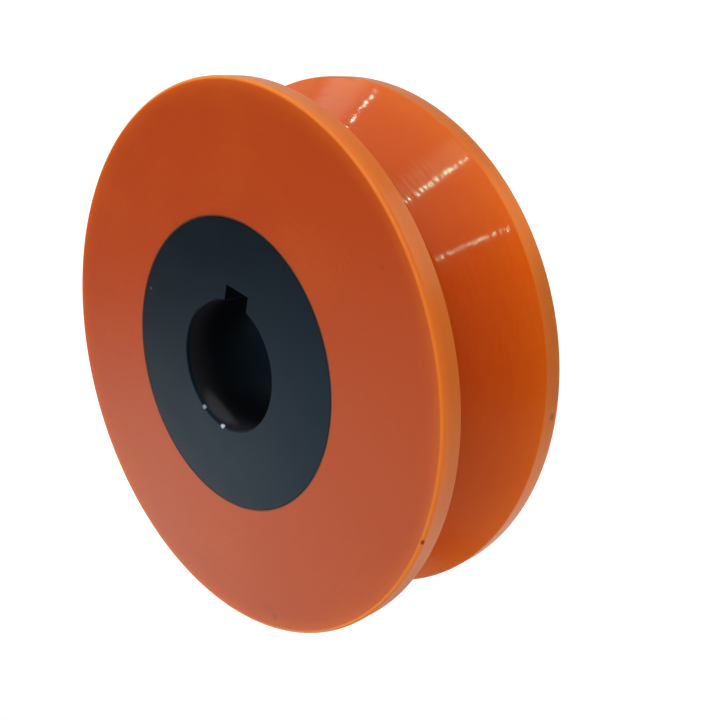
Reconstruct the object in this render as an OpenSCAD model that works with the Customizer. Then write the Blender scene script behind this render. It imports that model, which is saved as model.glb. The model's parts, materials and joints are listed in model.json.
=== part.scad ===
// V-groove drive roller: a polyurethane tyre cast onto a keyed steel hub.
// The roller stands on its back face, with the bore axis along +Z and the keyway towards +Y.

/* [Roller] */
// Outside diameter over the two lands
roller_d = 100; // [96:1:110]
// Width over the two flat faces, shared by the hub and the tyre
roller_w = 30.5; // [28:0.5:34]

/* [Tyre] */
// Width of the flat land on each side of the groove
land_w = 4; // [3:0.5:6]
// Angle between the two flanks of the groove
groove_angle = 90; // [84:1:110]
// Radius at the bottom of the groove
root_r = 2; // [1:0.25:3]
// Radius where a land turns down into its flank
lip_r = 0.5; // [0.3:0.1:1]
// Radius on the outer corner between a face and its land
corner_r = 0.6; // [0.3:0.1:1]

/* [Hub] */
// Diameter of the bond between the hub and the tyre
hub_d = 53.5; // [48:0.5:56]
// Diameter of the shaft bore
bore_d = 24; // [20:0.5:28]
// Chamfer on both mouths of the bore
bore_chamfer = 0.3; // [0.2:0.1:1]
// Width of the keyway
key_w = 6; // [5:0.5:8]
// Depth of the keyway, above the crown of the bore
key_depth = 2.8; // [2:0.1:4]

/* [Hidden] */
$fn = 180;

roller_r = roller_d / 2;
hub_r = hub_d / 2;
bore_r = bore_d / 2;
mid_z = roller_w / 2;

// Sharp section of the groove, before its corners are rounded
half_angle = groove_angle / 2;
mouth_half = mid_z - land_w;
groove_depth = mouth_half / tan(half_angle);
root_x = roller_r - groove_depth;

// Cuts run past the faces by this much
overrun = 1;

// What rounding takes off a sharp corner: the space between the corner and the arc
// tangent to both of its sides, which leave it at two headings less than half a turn apart.
// It is drawn with the first side along +X, reaches past the corner, and is turned into place.
module corner_sliver(corner, from_angle, to_angle, radius) {
    opening = to_angle - from_angle;
    tangent = radius / tan(opening / 2);
    translate(corner)
        rotate(from_angle)
            difference() {
                polygon([
                    [tangent, 0],
                    tangent * [cos(opening), sin(opening)],
                    -overrun * [cos(opening / 2), sin(opening / 2)]
                ]);
                translate([tangent, radius])
                    circle(r = radius);
            }
}

// Half section of the groove, cut past the lands and rounded at its bottom
module groove_section() {
    cut_depth = groove_depth + overrun;
    cut_half = cut_depth * tan(half_angle);
    difference() {
        polygon([
            [root_x, mid_z],
            [root_x + cut_depth, mid_z - cut_half],
            [root_x + cut_depth, mid_z + cut_half]
        ]);
        corner_sliver([root_x, mid_z], -half_angle, half_angle, root_r);
    }
}

// Slivers that round the lower corner and the lower lip of the groove
module lower_slivers() {
    corner_sliver([roller_r, 0], 90, 180, corner_r);
    corner_sliver([roller_r, land_w], 180 - half_angle, 270, lip_r);
}

// Half section of the tyre, alike above and below the middle of its width
module tyre_section() {
    difference() {
        translate([hub_r, 0])
            square([roller_r - hub_r, roller_w]);
        groove_section();
        lower_slivers();
        translate([0, roller_w])
            mirror([0, 1])
                lower_slivers();
    }
}

// Cast tyre with a V groove, bonded to the outside of the hub
module polyurethane_tyre() {
    color("#c8541e")
        rotate_extrude()
            tyre_section();
}

// Half section of the hub, with both mouths of the bore chamfered
module hub_section() {
    polygon([
        [bore_r + bore_chamfer, 0],
        [hub_r, 0],
        [hub_r, roller_w],
        [bore_r + bore_chamfer, roller_w],
        [bore_r, roller_w - bore_chamfer],
        [bore_r, bore_chamfer]
    ]);
}

// Slot for a parallel key, open into the bore over the whole width
module keyway() {
    translate([-key_w / 2, 0, -overrun])
        cube([key_w, bore_r + key_depth, roller_w + 2 * overrun]);
}

// Turned steel hub, flush with both faces of the tyre
module hub() {
    color("#2a323b")
        difference() {
            rotate_extrude()
                hub_section();
            keyway();
        }
}

hub();
polyurethane_tyre();
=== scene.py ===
"""Looks of a V-groove polyurethane roller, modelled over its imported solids.

The roller stands on its back face, with the bore axis along +Z and the keyway towards +Y.
Every size is in metres.
"""
import json
import logging
import math
from collections.abc import Iterator
from contextlib import contextmanager
from dataclasses import dataclass
from enum import Enum

import bmesh
import bpy
from mathutils import Matrix, Vector


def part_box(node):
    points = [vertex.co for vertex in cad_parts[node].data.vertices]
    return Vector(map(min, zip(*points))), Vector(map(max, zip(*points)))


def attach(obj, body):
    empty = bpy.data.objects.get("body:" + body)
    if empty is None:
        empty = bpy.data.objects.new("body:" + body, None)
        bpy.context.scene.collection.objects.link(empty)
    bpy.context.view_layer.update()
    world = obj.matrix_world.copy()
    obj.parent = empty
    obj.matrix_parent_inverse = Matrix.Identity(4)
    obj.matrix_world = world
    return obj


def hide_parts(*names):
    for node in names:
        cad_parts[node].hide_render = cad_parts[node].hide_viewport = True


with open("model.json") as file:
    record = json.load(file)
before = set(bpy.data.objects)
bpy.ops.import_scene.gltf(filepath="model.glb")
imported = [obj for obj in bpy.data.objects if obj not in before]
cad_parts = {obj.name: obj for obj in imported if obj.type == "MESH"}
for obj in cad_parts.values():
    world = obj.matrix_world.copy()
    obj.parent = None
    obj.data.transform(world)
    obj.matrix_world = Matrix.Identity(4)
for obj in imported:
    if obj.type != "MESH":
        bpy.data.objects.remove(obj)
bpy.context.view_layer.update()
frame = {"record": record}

LOG = logging.getLogger("roller")
BODY = "root"
MM = 0.001
# Rings are picked within the first of these distances, and doubles merged within the second
NEAR = 0.001 * MM
MERGE = 0.0001 * MM
SMOOTH_ANGLE = math.radians(35)
FACE_WEIGHT = 100
NOISE_MIDDLE = 0.5
# Part of a spot's reach over which it has its full strength
SPOT_CORE = 0.4

Colour = tuple[float, float, float, float]
Place = tuple[float, float, float]
Span = tuple[float, float]


def mm(x: float, y: float, z: float) -> Place:
    """Return a place or a size that is given in millimetres."""
    return (x * MM, y * MM, z * MM)


class Solid(Enum):
    """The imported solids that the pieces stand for."""

    HUB = "hub"
    TYRE = "polyurethane_tyre"


class Slot(Enum):
    """The record's material slots."""

    STEEL = "hub_steel"
    POLYURETHANE = "polyurethane"


class Signal:
    """A socket of a node board. Arithmetic on it adds Math nodes to the board."""

    def __init__(self, board: "NodeBoard", socket: bpy.types.NodeSocket) -> None:
        """Keep the socket and the board that it stands on."""
        self.board = board
        self.socket = socket

    def __add__(self, other: "Signal | float") -> "Signal":
        """Return self + other."""
        return self.board.math("ADD", self, other)

    def __radd__(self, other: float) -> "Signal":
        """Return other + self."""
        return self.board.math("ADD", other, self)

    def __sub__(self, other: "Signal | float") -> "Signal":
        """Return self - other."""
        return self.board.math("SUBTRACT", self, other)

    def __rsub__(self, other: float) -> "Signal":
        """Return other - self."""
        return self.board.math("SUBTRACT", other, self)

    def __mul__(self, other: "Signal | float") -> "Signal":
        """Return self * other."""
        return self.board.math("MULTIPLY", self, other)

    def __rmul__(self, other: float) -> "Signal":
        """Return other * self."""
        return self.board.math("MULTIPLY", other, self)

    def __truediv__(self, other: "Signal | float") -> "Signal":
        """Return self / other."""
        return self.board.math("DIVIDE", self, other)

    def __pow__(self, other: "Signal | float") -> "Signal":
        """Return self to the power of other."""
        return self.board.math("POWER", self, other)

    def __abs__(self) -> "Signal":
        """Return the size of self, without its sign."""
        return self.board.math("ABSOLUTE", self, 0.0)


Feed = Signal | float | Place | Colour
Feeds = dict[str | int, Feed]
Settings = dict[str, object]


class NodeBoard:
    """The nodes of one material or surround, and the helpers that add to them."""

    def __init__(self, tree: bpy.types.NodeTree) -> None:
        """Start from an empty tree."""
        self.tree = tree
        self.tree.nodes.clear()

    def node(
        self,
        kind: str,
        settings: Settings | None = None,
        feeds: Feeds | None = None,
    ) -> bpy.types.Node:
        """Add any node.

        Args:
            kind: Blender's name of the node type.
            settings: Properties of the node, set before its sockets are fed.
            feeds: Values or signals for its inputs, by name or number.

        Returns:
            The node.
        """
        node = self.tree.nodes.new(kind)
        for name, value in (settings or {}).items():
            setattr(node, name, value)
        for key, feed in (feeds or {}).items():
            if isinstance(feed, Signal):
                self.tree.links.new(feed.socket, node.inputs[key])
            else:
                node.inputs[key].default_value = feed
        return node

    def add(
        self,
        kind: str,
        settings: Settings | None = None,
        feeds: Feeds | None = None,
        output: str | int = 0,
    ) -> Signal:
        """Add any node that gives a signal.

        Args:
            kind: Blender's name of the node type.
            settings: Properties of the node, set before its sockets are fed.
            feeds: Values or signals for its inputs, by name or number.
            output: The output to return, by name or number.

        Returns:
            The signal of that output.
        """
        return Signal(self, self.node(kind, settings, feeds).outputs[output])

    def math(self, operation: str, first: Signal | float, second: Signal | float) -> Signal:
        """Add a Math node of two inputs and return its result."""
        return self.add("ShaderNodeMath", {"operation": operation}, {0: first, 1: second})

    def smooth(self, value: Signal, start: float, end: float) -> Signal:
        """Return a smooth step.

        Args:
            value: What the step is taken over.
            start: Where the step is still 0. It may be larger than end.
            end: Where the step has come to 1.

        Returns:
            A mask of 0 to 1.
        """
        return self.add(
            "ShaderNodeMapRange",
            {"interpolation_type": "SMOOTHSTEP"},
            {"Value": value, "From Min": start, "From Max": end},
        )

    def mix(self, factor: Signal | float, first: Feed, second: Feed) -> Signal:
        """Return a colour between first, at factor 0, and second, at factor 1."""
        return self.add("ShaderNodeMix", {"data_type": "RGBA"}, {0: factor, 6: first, 7: second}, 2)

    def noise(self, vector: Signal, scale: float, detail: float = 2.0) -> Signal:
        """Return a noise of 0 to 1 around its middle."""
        return self.add("ShaderNodeTexNoise", None, {"Vector": vector, "Scale": scale, "Detail": detail})

    def camera_ray(self) -> Signal:
        """Return 1 for what is seen straight from the camera, and 0 for the light that is thrown."""
        return self.add("ShaderNodeLightPath", output="Is Camera Ray")


class Surface(NodeBoard):
    """The nodes of a material, with its places along and across the bore axis."""

    def __init__(self, name: str) -> None:
        """Make the material and the signals that its patterns are drawn from.

        Args:
            name: The material's name.
        """
        self.material = bpy.data.materials.new(name)
        self.material.use_nodes = True
        super().__init__(self.material.node_tree)
        self.place = self.add("ShaderNodeTexCoord", output="Object")
        split = self.node("ShaderNodeSeparateXYZ", None, {0: self.place})
        self.x, self.y, self.z = (Signal(self, output) for output in split.outputs)
        self.radius = (self.x * self.x + self.y * self.y) ** 0.5

    def turned(self, ring_pitch: float, arc_length: float, lean: float = 3.0) -> Signal:
        """Return the noise that a lathe tool leaves: fine rings about the bore axis.

        Args:
            ring_pitch: Size of the marks across the rings.
            arc_length: Size of the marks along the rings.
            lean: Weight of height against radius, so that cones of any slope show rings.

        Returns:
            A noise of 0 to 1 around its middle.
        """
        across = (self.radius + lean * self.z) / ring_pitch
        vector = self.add(
            "ShaderNodeCombineXYZ",
            None,
            {0: self.x / arc_length, 1: self.y / arc_length, 2: across},
        )
        return self.noise(vector, 1.0)

    def spot(self, centre: Place, reach: Place) -> Signal:
        """Return a soft mask, 1 at centre and 0 past an ellipsoid about it.

        Args:
            centre: Middle of the spot.
            reach: Half sizes of the spot along the three axes.

        Returns:
            A mask of 0 to 1.
        """
        offset = self.add("ShaderNodeVectorMath", {"operation": "SUBTRACT"}, {0: self.place, 1: centre})
        scaled = self.add("ShaderNodeVectorMath", {"operation": "DIVIDE"}, {0: offset, 1: reach})
        distance = self.add("ShaderNodeVectorMath", {"operation": "LENGTH"}, {0: scaled}, "Value")
        return self.smooth(distance, 1.0, SPOT_CORE)

    def bump(self, height: Signal, depth: float) -> Signal:
        """Return a normal bumped by a height of 0 to 1 times depth."""
        return self.add("ShaderNodeBump", None, {"Strength": 1.0, "Distance": depth, "Height": height})

    def shade(self, feeds: Feeds) -> bpy.types.Material:
        """End the board in a Principled shader.

        Args:
            feeds: Values or signals for the shader's inputs.

        Returns:
            The finished material.
        """
        shader = self.add("ShaderNodeBsdfPrincipled", None, feeds)
        self.node("ShaderNodeOutputMaterial", None, {"Surface": shader})
        return self.material


@dataclass(frozen=True)
class RollerSizes:
    """Sizes of the roller: the frame gives the outer ones, and the section's own are named here."""

    radius: float
    width: float
    hub_radius: float
    bore_radius: float
    bore_chamfer: float
    key_top: float
    key_width: float = 6.0 * MM
    land: float = 4.0 * MM
    groove_angle: float = math.radians(90)
    root_radius: float = 2.0 * MM
    lip_radius: float = 0.5 * MM
    corner_radius: float = 0.6 * MM

    @classmethod
    def from_frame(cls) -> "RollerSizes":
        """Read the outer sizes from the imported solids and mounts.

        Returns:
            The sizes of this roller.
        """
        tyre_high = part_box(Solid.TYRE.value)[1]
        hub_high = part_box(Solid.HUB.value)[1]
        mounts = {mount["name"]: mount for mount in frame["record"]["mounts"]}
        bore = mounts["shaft_bore"]["dims"]
        width = tyre_high[2]
        return cls(
            radius=tyre_high[0],
            width=width,
            hub_radius=hub_high[0],
            bore_radius=bore["r_mm"] * MM,
            bore_chamfer=(width - bore["length_mm"] * MM) / 2,
            key_top=mounts["keyway"]["pos_m"][1],
        )

    @property
    def middle(self) -> float:
        """Height of the groove's bottom."""
        return self.width / 2

    @property
    def ends(self) -> Span:
        """Heights of the two faces."""
        return (0.0, self.width)

    @property
    def lips(self) -> Span:
        """Heights at which the lands turn down into the groove."""
        return (self.land, self.width - self.land)

    @property
    def root(self) -> float:
        """Radius at which the two flanks would meet if the groove's bottom were sharp."""
        return self.radius - (self.middle - self.land) / math.tan(self.groove_angle / 2)

    @property
    def root_reach(self) -> float:
        """How far the rounding of the groove's bottom runs along each flank."""
        return self.root_radius / math.tan(self.groove_angle / 2)

    @property
    def lip_reach(self) -> float:
        """How far the rounding of a lip runs along its land and its flank."""
        return self.lip_radius * math.tan((math.pi / 2 - self.groove_angle / 2) / 2)


class Workpiece:
    """A mesh object that is shaped by operators, as by hand."""

    def __init__(self, name: str) -> None:
        """Take up the primitive that was just added, with its place moved into its mesh.

        Args:
            name: The piece's name.
        """
        bpy.ops.object.transform_apply(location=True, rotation=True, scale=True)
        self.body = bpy.context.object
        self.body.name = name
        self.body.data.name = name

    @classmethod
    def tube(cls, name: str, radius: float, height: float, sides: int) -> "Workpiece":
        """Add an open tube that stands on the floor about the bore axis.

        Args:
            name: The piece's name.
            radius: Radius of the tube.
            height: Height of the tube.
            sides: Number of flat sides that make it round.

        Returns:
            The tube.
        """
        bpy.ops.object.select_all(action="DESELECT")
        bpy.ops.mesh.primitive_cylinder_add(
            vertices=sides,
            radius=radius,
            depth=height,
            end_fill_type="NOTHING",
            location=(0, 0, height / 2),
        )
        return cls(name)

    @classmethod
    def block(cls, name: str, centre: Place, size: Place, turn: Place = (0.0, 0.0, 0.0)) -> "Workpiece":
        """Add a block.

        Args:
            name: The piece's name.
            centre: Middle of the block.
            size: Its size along its own axes.
            turn: Its turns about X, Y and Z.

        Returns:
            The block.
        """
        bpy.ops.object.select_all(action="DESELECT")
        bpy.ops.mesh.primitive_cube_add(size=1, location=centre, scale=size, rotation=turn)
        return cls(name)

    def activate(self) -> None:
        """Make this the only selected object."""
        bpy.ops.object.select_all(action="DESELECT")
        self.body.select_set(True)
        bpy.context.view_layer.objects.active = self.body

    @contextmanager
    def editing(self) -> Iterator[None]:
        """Hold the piece in edit mode."""
        self.activate()
        bpy.ops.object.mode_set(mode="EDIT")
        yield
        bpy.ops.object.mode_set(mode="OBJECT")

    def pick_rings(self, radius: float, heights: tuple[float, ...]) -> None:
        """Select the edges of the rings with that radius at those heights.

        Args:
            radius: Distance of the rings from the bore axis.
            heights: Height of each ring.
        """
        bpy.ops.mesh.select_mode(type="EDGE")
        bpy.ops.mesh.select_all(action="DESELECT")
        mesh = bmesh.from_edit_mesh(self.body.data)
        for edge in mesh.edges:
            first, second = (vertex.co for vertex in edge.verts)
            on_radius = all(abs(place.xy.length - radius) < NEAR for place in (first, second))
            level = abs(first.z - second.z) < NEAR
            edge.select_set(on_radius and level and any(abs(first.z - z) < NEAR for z in heights))
        bmesh.update_edit_mesh(self.body.data)

    def cut_level(self, height: float) -> None:
        """Cut the whole mesh along a level plane."""
        bpy.ops.mesh.select_all(action="SELECT")
        bpy.ops.mesh.bisect(plane_co=(0, 0, height), plane_no=(0, 0, 1))

    def draw_in(self, factor: float, height: float) -> None:
        """Scale the selection towards the bore axis at that height."""
        bpy.ops.transform.resize(value=(factor, factor, 1), center_override=(0, 0, height))

    def wall_in(self, radius: float, inner: float, height: float) -> None:
        """Close an open tube into a ring, by extruding its top rim round to its bottom rim.

        Args:
            radius: Radius of the tube.
            inner: Radius of the hole through the ring.
            height: Height of the tube.
        """
        self.pick_rings(radius, (height,))
        bpy.ops.mesh.extrude_edges_move()
        self.draw_in(inner / radius, height)
        bpy.ops.mesh.extrude_edges_move(TRANSFORM_OT_translate={"value": (0, 0, -height)})
        bpy.ops.mesh.extrude_edges_move()
        self.draw_in(radius / inner, 0)
        bpy.ops.mesh.select_all(action="SELECT")
        bpy.ops.mesh.remove_doubles(threshold=MERGE)

    def round_rings(self, radius: float, heights: tuple[float, ...], width: float, steps: int) -> None:
        """Bevel rings.

        Args:
            radius: Distance of the rings from the bore axis.
            heights: Height of each ring.
            width: How far along each neighbouring face the bevel reaches.
            steps: Number of flat steps in the bevel.
        """
        self.pick_rings(radius, heights)
        bpy.ops.mesh.bevel(offset_type="OFFSET", offset=width, segments=steps, profile=0.5, affect="EDGES")

    def cut_away(self, cutter: "Workpiece") -> None:
        """Cut another workpiece out of this one, and delete it.

        Args:
            cutter: The workpiece that is used up.
        """
        self.activate()
        cut = self.body.modifiers.new("cut", "BOOLEAN")
        cut.operation = "DIFFERENCE"
        cut.solver = "EXACT"
        cut.object = cutter.body
        bpy.ops.object.modifier_apply(modifier=cut.name)
        bpy.data.objects.remove(cutter.body)

    def close(self) -> None:
        """Merge doubles and turn the faces outwards."""
        with self.editing():
            bpy.ops.mesh.select_all(action="SELECT")
            bpy.ops.mesh.remove_doubles(threshold=MERGE)
            bpy.ops.mesh.normals_make_consistent(inside=False)
            bpy.ops.mesh.select_all(action="DESELECT")

    def smooth(self, angle: float) -> None:
        """Smooth the piece, with its large faces kept true by weighted normals.

        Args:
            angle: Edges that turn by less than this are smoothed.
        """
        self.activate()
        bpy.ops.object.shade_smooth_by_angle(angle=angle)
        weighted = self.body.modifiers.new("true_faces", "WEIGHTED_NORMAL")
        weighted.mode = "FACE_AREA"
        weighted.weight = FACE_WEIGHT
        weighted.keep_sharp = True
        bpy.ops.object.modifier_apply(modifier=weighted.name)

    def fit(self, solid: Solid, material: bpy.types.Material) -> None:
        """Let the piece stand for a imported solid.

        Args:
            solid: The solid that it replaces.
            material: Its finish.
        """
        self.body.data.materials.clear()
        self.body.data.materials.append(material)
        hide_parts(solid.value)
        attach(self.body, BODY)


@dataclass(frozen=True)
class Mark:
    """A speck or smudge on a surface, or a painted glint or lighter patch."""

    centre: Place
    reach: Place
    strength: float


@dataclass(frozen=True)
class PolyurethaneFinish:
    """Cast orange polyurethane: satin turned faces and polished groove flanks, with a painted glow on the
    rim and lands, painted highlights along the corners, and flanks in a lighter copy of the face's colour.
    """

    sizes: RollerSizes
    deep: Colour = (0.490, 0.055, 0.0015, 1.0)
    # The flanks' colour is a lighter copy of the face's, painted for the extra light that the flanks catch
    groove: Colour = (0.750, 0.112, 0.002, 1.0)
    pale: Colour = (0.90, 0.226, 0.004, 1.0)
    # Painted highlight colour for the corner's ridge
    ridge_highlight: Colour = (0.80, 0.260, 0.030, 1.0)
    dark_mark: Colour = (0.20, 0.030, 0.012, 1.0)
    bond_line: Colour = (0.030, 0.010, 0.008, 1.0)
    # Shares of the pale colour: a painted glow of the light that shines through the thin rim, then a
    # painted highlight band along the corners, clouds and rings
    face_glow: float = 0.10
    groove_glow: float = 0.20
    land_glow: float = 0.70
    highlight_band_share: float = 0.12
    cloud_share: float = 0.25
    ring_share: float = 0.10
    # Shares of the painted highlight on the corner's ridge and of the bond line's colour
    ridge_highlight_share: float = 0.35
    bond_share: float = 0.8
    # From where to where a mask runs: past the rim, past the corner or past the bond
    rim: Span = (-0.8 * MM, -0.3 * MM)
    highlight_band: Span = (-2.4 * MM, -0.5 * MM)
    ridge: Span = (-0.75 * MM, -0.40 * MM)
    bond: Span = (0.40 * MM, 0.15 * MM)
    lip_fade: float = 0.3 * MM
    # Depth and falloff of the painted glow inside the rim
    glow_depth: float = 7.0 * MM
    glow_falloff: float = 2.0
    cloud_scale: float = 45.0
    cloud_detail: float = 3.0
    ring_pitch: float = 1.0 * MM
    ring_arc: float = 8.0 * MM
    ring_depth: float = 0.055 * MM
    # Depth of the face's rings as a share of the flank's
    face_rings: float = 0.2
    face_roughness: float = 0.30
    flank_roughness: float = 0.07
    face_unevenness: float = 0.10
    flank_unevenness: float = 0.04
    ior: float = 1.5
    gloss: float = 0.25
    gloss_tint: Colour = (0.36, 1.0, 0.68, 1.0)
    land_coat: float = 0.18
    coat_roughness: float = 0.2
    scatter_radius: Place = (1.0, 0.35, 0.12)
    scatter_depth: float = 3.0 * MM
    marks: tuple[Mark, ...] = (
        Mark(mm(30.9, 31.6, 30.5), mm(0.7, 0.5, 0.5), 0.35),
        Mark(mm(22.4, -41.8, 30.5), mm(0.9, 1.0, 0.5), 0.4),
        Mark(mm(20.4, -41.0, 30.5), mm(2.4, 1.2, 0.5), 0.15),
        Mark(mm(49.4, 8.0, 1.7), mm(1.0, 0.9, 0.9), 0.45),
        # This mark darkens the nick in the front corner
        Mark(mm(49.5, -6.2, 30.3), mm(0.5, 0.6, 0.5), 0.9),
    )

    def make(self) -> bpy.types.Material:
        """Mix the finish.

        Returns:
            The finished material.
        """
        surface = Surface(Slot.POLYURETHANE.value)
        sizes = self.sizes
        past_rim = surface.radius - sizes.radius
        past_bond = surface.radius - sizes.hub_radius
        from_face = sizes.middle - abs(surface.z - sizes.middle)
        past_corner = past_rim - from_face
        in_groove = surface.smooth(from_face, sizes.land, sizes.land + self.lip_fade)
        on_land = (1.0 - in_groove) * surface.smooth(past_rim, *self.rim)
        rings = surface.turned(self.ring_pitch, self.ring_arc)
        cloud = surface.noise(surface.place, self.cloud_scale, self.cloud_detail)

        # Painted glow: lighter towards the rim on the face, the flanks and most of all the lands, for
        # light that shines through the thin rim
        glow = surface.smooth(past_rim, -self.glow_depth, 0.0) ** self.glow_falloff
        tone = (self.face_glow + self.groove_glow * in_groove + self.land_glow * on_land) * glow
        # Painted highlight: a lighter band along the corners
        tone = tone + self.highlight_band_share * surface.smooth(past_corner, *self.highlight_band)
        tone = tone + self.cloud_share * (cloud - NOISE_MIDDLE)
        tone = tone + self.ring_share * (rings - NOISE_MIDDLE)
        # Painted light: the flanks take the lighter copy of the face's colour
        colour = surface.mix(tone, surface.mix(in_groove, self.deep, self.groove), self.pale)
        # Painted highlight on the corner's ridge
        on_ridge = surface.smooth(past_corner, *self.ridge)
        colour = surface.mix(self.ridge_highlight_share * on_ridge, colour, self.ridge_highlight)
        at_bond = surface.smooth(past_bond, *self.bond)
        colour = surface.mix(self.bond_share * at_bond, colour, self.bond_line)
        for mark in self.marks:
            spot = surface.spot(mark.centre, mark.reach)
            colour = surface.mix(spot * mark.strength, colour, self.dark_mark)

        roughness = self.face_roughness + (self.flank_roughness - self.face_roughness) * in_groove
        unevenness = self.face_unevenness + (self.flank_unevenness - self.face_unevenness) * in_groove
        height = (self.face_rings + (1.0 - self.face_rings) * in_groove) * rings
        return surface.shade(
            {
                "Base Color": colour,
                "Roughness": roughness + unevenness * (cloud - NOISE_MIDDLE),
                "Normal": surface.bump(height, self.ring_depth),
                "IOR": self.ior,
                "Specular IOR Level": self.gloss,
                "Specular Tint": self.gloss_tint,
                "Coat Weight": self.land_coat * on_land,
                "Coat Roughness": self.coat_roughness,
                "Subsurface Weight": 1.0,
                "Subsurface Radius": self.scatter_radius,
                "Subsurface Scale": self.scatter_depth,
            }
        )


@dataclass(frozen=True)
class SteelFinish:
    """Blackened steel: a dark satin slate, with lathe rings, painted shade deeper in the bore and in the
    key slot, and painted glints and a painted lit patch at the bore's mouth.
    """

    sizes: RollerSizes
    dark: Colour = (0.0016, 0.0026, 0.005, 1.0)
    light: Colour = (0.0032, 0.0052, 0.010, 1.0)
    # The bore's wall: painted light at its mouth and painted shade deeper in
    mouth: Colour = (0.026, 0.024, 0.029, 1.0)
    bore: Colour = (0.004, 0.004, 0.005, 1.0)
    bright: Colour = (0.70, 0.74, 0.85, 1.0)
    # Shares of the lighter slate that follow the clouds and the rings
    cloud_share: float = 0.6
    ring_share: float = 0.4
    cloud_scale: float = 120.0
    cloud_detail: float = 4.0
    ring_pitch: float = 0.3 * MM
    ring_arc: float = 12.0 * MM
    ring_depth: float = 0.006 * MM
    # Depths over which the painted shade in the bore sets in
    mouth_fade: float = 0.3 * MM
    bore_shade_depth: float = 7.0 * MM
    # From where to where, past the bore's wall, the key slot's shade sets in
    slot_edge: Span = (0.1 * MM, 0.3 * MM)
    roughness: float = 0.31
    unevenness: float = 0.15
    ior: float = 1.5
    gloss: float = 0.185
    gloss_tint: Colour = (0.14, 0.60, 1.0, 1.0)
    # Painted highlights: two glints on the bore's chamfer, a small pale spot on the hub's face, and a
    # painted lit patch on the bore's wall near its mouth
    glints_and_spots: tuple[Mark, ...] = (
        Mark(mm(-4.94, -11.10, 30.35), mm(0.60, 0.60, 0.5), 0.45),
        Mark(mm(0.87, -12.12, 30.35), mm(0.70, 0.65, 0.5), 0.8),
        Mark(mm(-24.86, 4.91, 30.5), mm(0.30, 0.40, 0.3), 0.12),
        Mark(mm(-3.5, -11.4, 28.2), mm(7.0, 4.0, 2.2), 0.06),
    )

    def make(self) -> bpy.types.Material:
        """Mix the finish.

        Returns:
            The finished material.
        """
        surface = Surface(Slot.STEEL.value)
        sizes = self.sizes
        rings = surface.turned(self.ring_pitch, self.ring_arc)
        cloud = surface.noise(surface.place, self.cloud_scale, self.cloud_detail)
        colour = surface.mix(self.cloud_share * cloud + self.ring_share * rings, self.dark, self.light)

        # Painted shade: the bore's wall darkens from its lighter mouth inwards, and the key slot is dark
        # all through
        wall_top = sizes.width - sizes.bore_chamfer
        inside = surface.smooth(surface.z, wall_top, wall_top - self.mouth_fade)
        depth = surface.smooth(surface.z, sizes.width, sizes.width - self.bore_shade_depth)
        in_slot = surface.smooth(surface.radius - sizes.bore_radius, *self.slot_edge)
        shade = depth + in_slot - depth * in_slot
        colour = surface.mix(inside, colour, surface.mix(shade, self.mouth, self.bore))
        # Painted highlights at the bore's mouth
        for bright_mark in self.glints_and_spots:
            spot = surface.spot(bright_mark.centre, bright_mark.reach)
            colour = surface.mix(spot * bright_mark.strength, colour, self.bright)
        return surface.shade(
            {
                "Base Color": colour,
                "Roughness": self.roughness + self.unevenness * (cloud - NOISE_MIDDLE),
                "Normal": surface.bump(rings, self.ring_depth),
                "IOR": self.ior,
                "Specular IOR Level": self.gloss,
                "Specular Tint": self.gloss_tint,
            }
        )


@dataclass
class Tyre:
    """The cast tyre, with a V groove between two flat lands."""

    sizes: RollerSizes
    sides: int = 256
    corner_steps: int = 6
    lip_steps: int = 4
    root_steps: int = 8
    bond_break: float = 0.1 * MM
    bond_steps: int = 2
    nick_angle: float = math.radians(-7.1)
    nick_slant: float = math.radians(20)
    nick_size: Place = mm(0.6, 0.8, 0.6)
    nick_depth: float = 0.38 * MM

    def build(self) -> Workpiece:
        """Shape the tyre from an open tube.

        Returns:
            The closed piece.
        """
        sizes = self.sizes
        piece = Workpiece.tube("tyre", sizes.radius, sizes.width, self.sides)
        with piece.editing():
            for height in (*sizes.lips, sizes.middle):
                piece.cut_level(height)
            piece.pick_rings(sizes.radius, (sizes.middle,))
            piece.draw_in(sizes.root / sizes.radius, sizes.middle)
            piece.wall_in(sizes.radius, sizes.hub_radius, sizes.width)
            piece.round_rings(sizes.radius, sizes.ends, sizes.corner_radius, self.corner_steps)
            piece.round_rings(sizes.radius, sizes.lips, sizes.lip_reach, self.lip_steps)
            piece.round_rings(sizes.root, (sizes.middle,), sizes.root_reach, self.root_steps)
            piece.round_rings(sizes.hub_radius, sizes.ends, self.bond_break, self.bond_steps)
        piece.close()
        piece.cut_away(self.nick())
        piece.close()
        piece.smooth(SMOOTH_ANGLE)
        return piece

    def nick(self) -> Workpiece:
        """Add the cutter of a small nick in the front corner.

        Returns:
            The cutter, in place.
        """
        out = self.sizes.radius - self.nick_depth + self.nick_size[0] / 2
        centre = (
            out * math.cos(self.nick_angle),
            out * math.sin(self.nick_angle),
            self.sizes.width - self.nick_depth + self.nick_size[2] / 2,
        )
        return Workpiece.block("nick", centre, self.nick_size, (self.nick_slant, 0.0, self.nick_angle))

    def dress(self, piece: Workpiece) -> None:
        """Give the tyre its finish and its place in the frame."""
        piece.fit(Solid.TYRE, PolyurethaneFinish(self.sizes).make())


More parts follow.
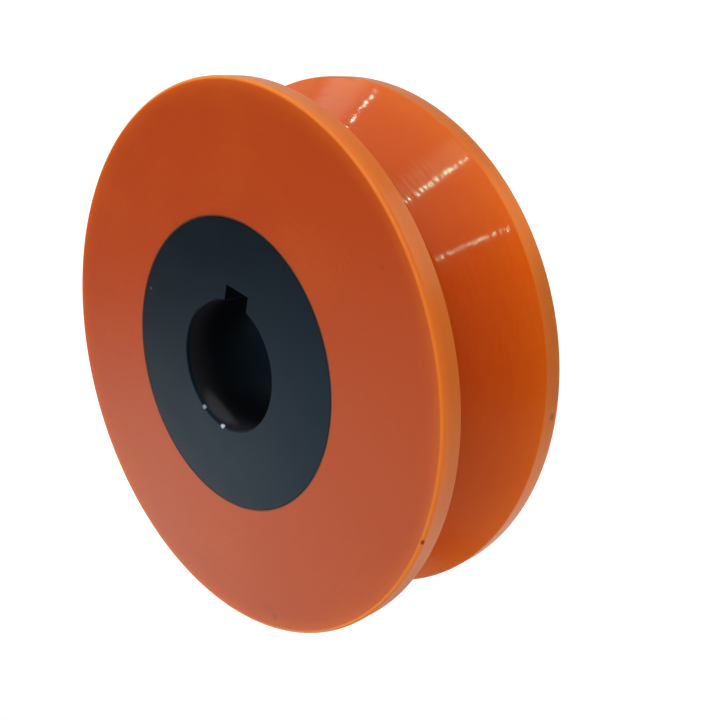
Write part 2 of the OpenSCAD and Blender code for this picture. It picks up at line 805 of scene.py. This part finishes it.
@dataclass
class Hub:
    """The turned steel hub, with a keyed bore."""

    sizes: RollerSizes
    sides: int = 256
    chamfer_steps: int = 1
    bond_break: float = 0.2 * MM
    bond_steps: int = 2
    overrun: float = 1.0 * MM

    def build(self) -> Workpiece:
        """Shape the hub from an open tube and cut its keyway.

        Returns:
            The closed piece.
        """
        sizes = self.sizes
        piece = Workpiece.tube("hub_core", sizes.hub_radius, sizes.width, self.sides)
        with piece.editing():
            piece.wall_in(sizes.hub_radius, sizes.bore_radius, sizes.width)
            piece.round_rings(sizes.bore_radius, sizes.ends, sizes.bore_chamfer, self.chamfer_steps)
            piece.round_rings(sizes.hub_radius, sizes.ends, self.bond_break, self.bond_steps)
        piece.close()
        piece.cut_away(self.key_slot())
        piece.close()
        piece.smooth(SMOOTH_ANGLE)
        return piece

    def key_slot(self) -> Workpiece:
        """Add the cutter of the keyway, from the bore axis to the slot's top.

        Returns:
            The cutter, in place.
        """
        sizes = self.sizes
        return Workpiece.block(
            "key_slot",
            (0.0, sizes.key_top / 2, sizes.middle),
            (sizes.key_width, sizes.key_top, sizes.width + 2 * self.overrun),
        )

    def dress(self, piece: Workpiece) -> None:
        """Give the hub its finish and its place in the frame."""
        piece.fit(Solid.HUB, SteelFinish(self.sizes).make())


def heading(azimuth: float, elevation: float) -> Vector:
    """Return the unit vector at an azimuth from +X and an elevation, both in degrees."""
    turn, rise = math.radians(azimuth), math.radians(elevation)
    return Vector((math.cos(rise) * math.cos(turn), math.cos(rise) * math.sin(turn), math.sin(rise)))


def aimed(eye: Vector, aim: Vector, up: Vector) -> Matrix:
    """Return the placing of a camera or lamp at eye that looks at aim.

    Args:
        eye: Where it stands.
        aim: What it looks at.
        up: A direction that shows as upwards in its view.

    Returns:
        The matrix of its object.
    """
    back = (eye - aim).normalized()
    right = up.cross(back).normalized()
    turn = Matrix((right, back.cross(right), back)).transposed()
    return Matrix.Translation(eye) @ turn.to_4x4()


@dataclass(frozen=True)
class Lamp:
    """A small rectangular lamp that faces the roller and gives one streak on its flank."""

    name: str
    azimuth: float
    elevation: float
    size: Span
    power: float
    distance: float = 0.7

    def build(self, aim: Vector) -> None:
        """Hang the lamp.

        Args:
            aim: The point that it lights.
        """
        data = bpy.data.lights.new(self.name, "AREA")
        data.shape = "RECTANGLE"
        data.size, data.size_y = self.size
        data.energy = self.power
        lamp = bpy.data.objects.new(self.name, data)
        bpy.context.scene.collection.objects.link(lamp)
        eye = aim + self.distance * heading(self.azimuth, self.elevation)
        lamp.matrix_world = aimed(eye, aim, Vector((0, 0, 1)))


@dataclass(frozen=True)
class Glow:
    """A soft bright part of the surround, full within one angle of its middle and gone at another."""

    name: str
    azimuth: float
    elevation: float
    core: float
    reach: float
    level: float

    def light(self, board: NodeBoard, direction: Signal) -> Signal:
        """Return the light that comes from a direction.

        Args:
            board: The surround's nodes.
            direction: The direction that is looked along.

        Returns:
            The glow's level within its core, and 0 past its reach.
        """
        towards = board.add(
            "ShaderNodeVectorMath",
            {"operation": "DOT_PRODUCT", "label": self.name},
            {0: direction, 1: tuple(heading(self.azimuth, self.elevation))},
            "Value",
        )
        edges = (math.cos(math.radians(angle)) for angle in (self.reach, self.core))
        return self.level * board.smooth(towards, *edges)


@dataclass(frozen=True)
class Surround:
    """A dim surround with soft glows, which the camera sees as plain white."""

    seen: Colour = (1.0, 1.0, 1.0, 1.0)
    dim: float = 0.21
    glows: tuple[Glow, ...] = (
        Glow("overhead", azimuth=0, elevation=88, core=15, reach=60, level=0.48),
        Glow("ceiling", azimuth=108, elevation=38, core=12, reach=50, level=1.28),
        Glow("sheen", azimuth=246, elevation=35, core=19, reach=33, level=1.38),
        Glow("sheen_core", azimuth=219.5, elevation=26, core=2, reach=12, level=0.95),
        Glow("right", azimuth=323, elevation=12, core=10, reach=40, level=0.56),
        Glow("left", azimuth=158, elevation=12, core=8, reach=34, level=0.572),
        Glow("band_high", azimuth=143, elevation=5, core=4, reach=11, level=1.6),
        Glow("band_middle", azimuth=94.5, elevation=26, core=1, reach=7, level=2.05),
    )

    def build(self) -> None:
        """Light the scene from the surround."""
        world = bpy.data.worlds.new("surround")
        bpy.context.scene.world = world
        world.use_nodes = True
        board = NodeBoard(world.node_tree)
        direction = board.add("ShaderNodeTexCoord", output="Generated")
        light: Signal | float = self.dim
        for glow in self.glows:
            light = light + glow.light(board, direction)
        colour = board.mix(board.camera_ray(), light, self.seen)
        back = board.add("ShaderNodeBackground", None, {"Color": colour, "Strength": 1.0})
        board.node("ShaderNodeOutputWorld", None, {"Surface": back})


@dataclass(frozen=True)
class FloorPart:
    """A soft part of the floor that throws its own light up at the roller."""

    centre: Place
    reach: Place
    level: float


@dataclass(frozen=True)
class FloorFinish:
    """Pale matt floor paint, lit a little from below, which the camera sees as plain white."""

    colour: Colour = (0.30, 0.30, 0.30, 1.0)
    roughness: float = 0.9
    seen: Colour = (0.95, 0.95, 0.97, 1.0)
    level: float = 0.24
    parts: tuple[FloorPart, ...] = (
        FloorPart(mm(0, 0, 0), mm(45, 45, 20), level=0.48),
        FloorPart(mm(42, 58, 0), mm(23, 29, 20), level=1.255),
        FloorPart(mm(66, -18, 0), mm(36, 42, 20), level=0.582),
        FloorPart(mm(25, -115, 0), mm(75, 70, 20), level=0.02),
    )

    def make(self) -> bpy.types.Material:
        """Mix the paint.

        Returns:
            The finished material.
        """
        surface = Surface("floor_paint")
        bounce: Signal | float = self.level
        for part in self.parts:
            bounce = bounce + surface.spot(part.centre, part.reach) * (part.level - bounce)
        return surface.shade(
            {
                "Base Color": self.colour,
                "Roughness": self.roughness,
                "Emission Color": surface.mix(surface.camera_ray(), bounce, self.seen),
                "Emission Strength": 1.0,
            }
        )


@dataclass
class Studio:
    """A pale floor, the lamps and a soft surround."""

    sizes: RollerSizes
    floor_radius: float = 0.25
    floor_sides: int = 128
    lamps: tuple[Lamp, ...] = (
        Lamp("line_high", azimuth=129.9, elevation=10.6, size=(0.009, 0.024), power=0.056),
        Lamp("line_middle", azimuth=88.8, elevation=27.3, size=(0.008, 0.030), power=0.106),
        Lamp("line_low", azimuth=59.2, elevation=33.9, size=(0.006, 0.030), power=0.050),
    )

    def build(self) -> None:
        """Lay the floor, hang the lamps and set the surround."""
        self.lay_floor()
        aim = Vector((0, 0, self.sizes.middle))
        for lamp in self.lamps:
            lamp.build(aim)
        Surround().build()
        bpy.context.scene.view_settings.view_transform = "Standard"

    def lay_floor(self) -> None:
        """Lay a round floor under the roller."""
        bpy.ops.object.select_all(action="DESELECT")
        bpy.ops.mesh.primitive_circle_add(
            vertices=self.floor_sides,
            radius=self.floor_radius,
            fill_type="NGON",
        )
        floor = bpy.context.object
        floor.name = "studio_floor"
        floor.data.materials.append(FloorFinish().make())


@dataclass
class PhotoCamera:
    """The camera at the photograph's viewing angle, rolled as the photograph is."""

    eye: Place = (0.11318, 0.07881, 0.12895)
    aim: Place = (0.01742, 0.00627, 0.01525)
    up: Place = (-0.42857, 0.88086, -0.20103)
    # Lens and sensor in millimetres, as Blender takes them
    lens: float = 46.775
    sensor: float = 36.0
    nearest: float = 0.005

    def build(self) -> None:
        """Stand the camera and make it the scene's own."""
        data = bpy.data.cameras.new("photo_camera")
        data.sensor_width = self.sensor
        data.lens = self.lens
        data.clip_start = self.nearest
        camera = bpy.data.objects.new("photo_camera", data)
        bpy.context.scene.collection.objects.link(camera)
        camera.matrix_world = aimed(Vector(self.eye), Vector(self.aim), Vector(self.up))
        bpy.context.scene.camera = camera


def main() -> None:
    """Build and dress the pieces, then the studio and the camera."""
    logging.basicConfig(level=logging.INFO, format="%(name)s: %(message)s")
    sizes = RollerSizes.from_frame()
    for part in (Hub(sizes), Tyre(sizes)):
        piece = part.build()
        part.dress(piece)
        LOG.info("%s: %d faces", piece.body.name, len(piece.body.data.polygons))
    Studio(sizes).build()
    PhotoCamera().build()


if __name__ == "__main__":
    main()
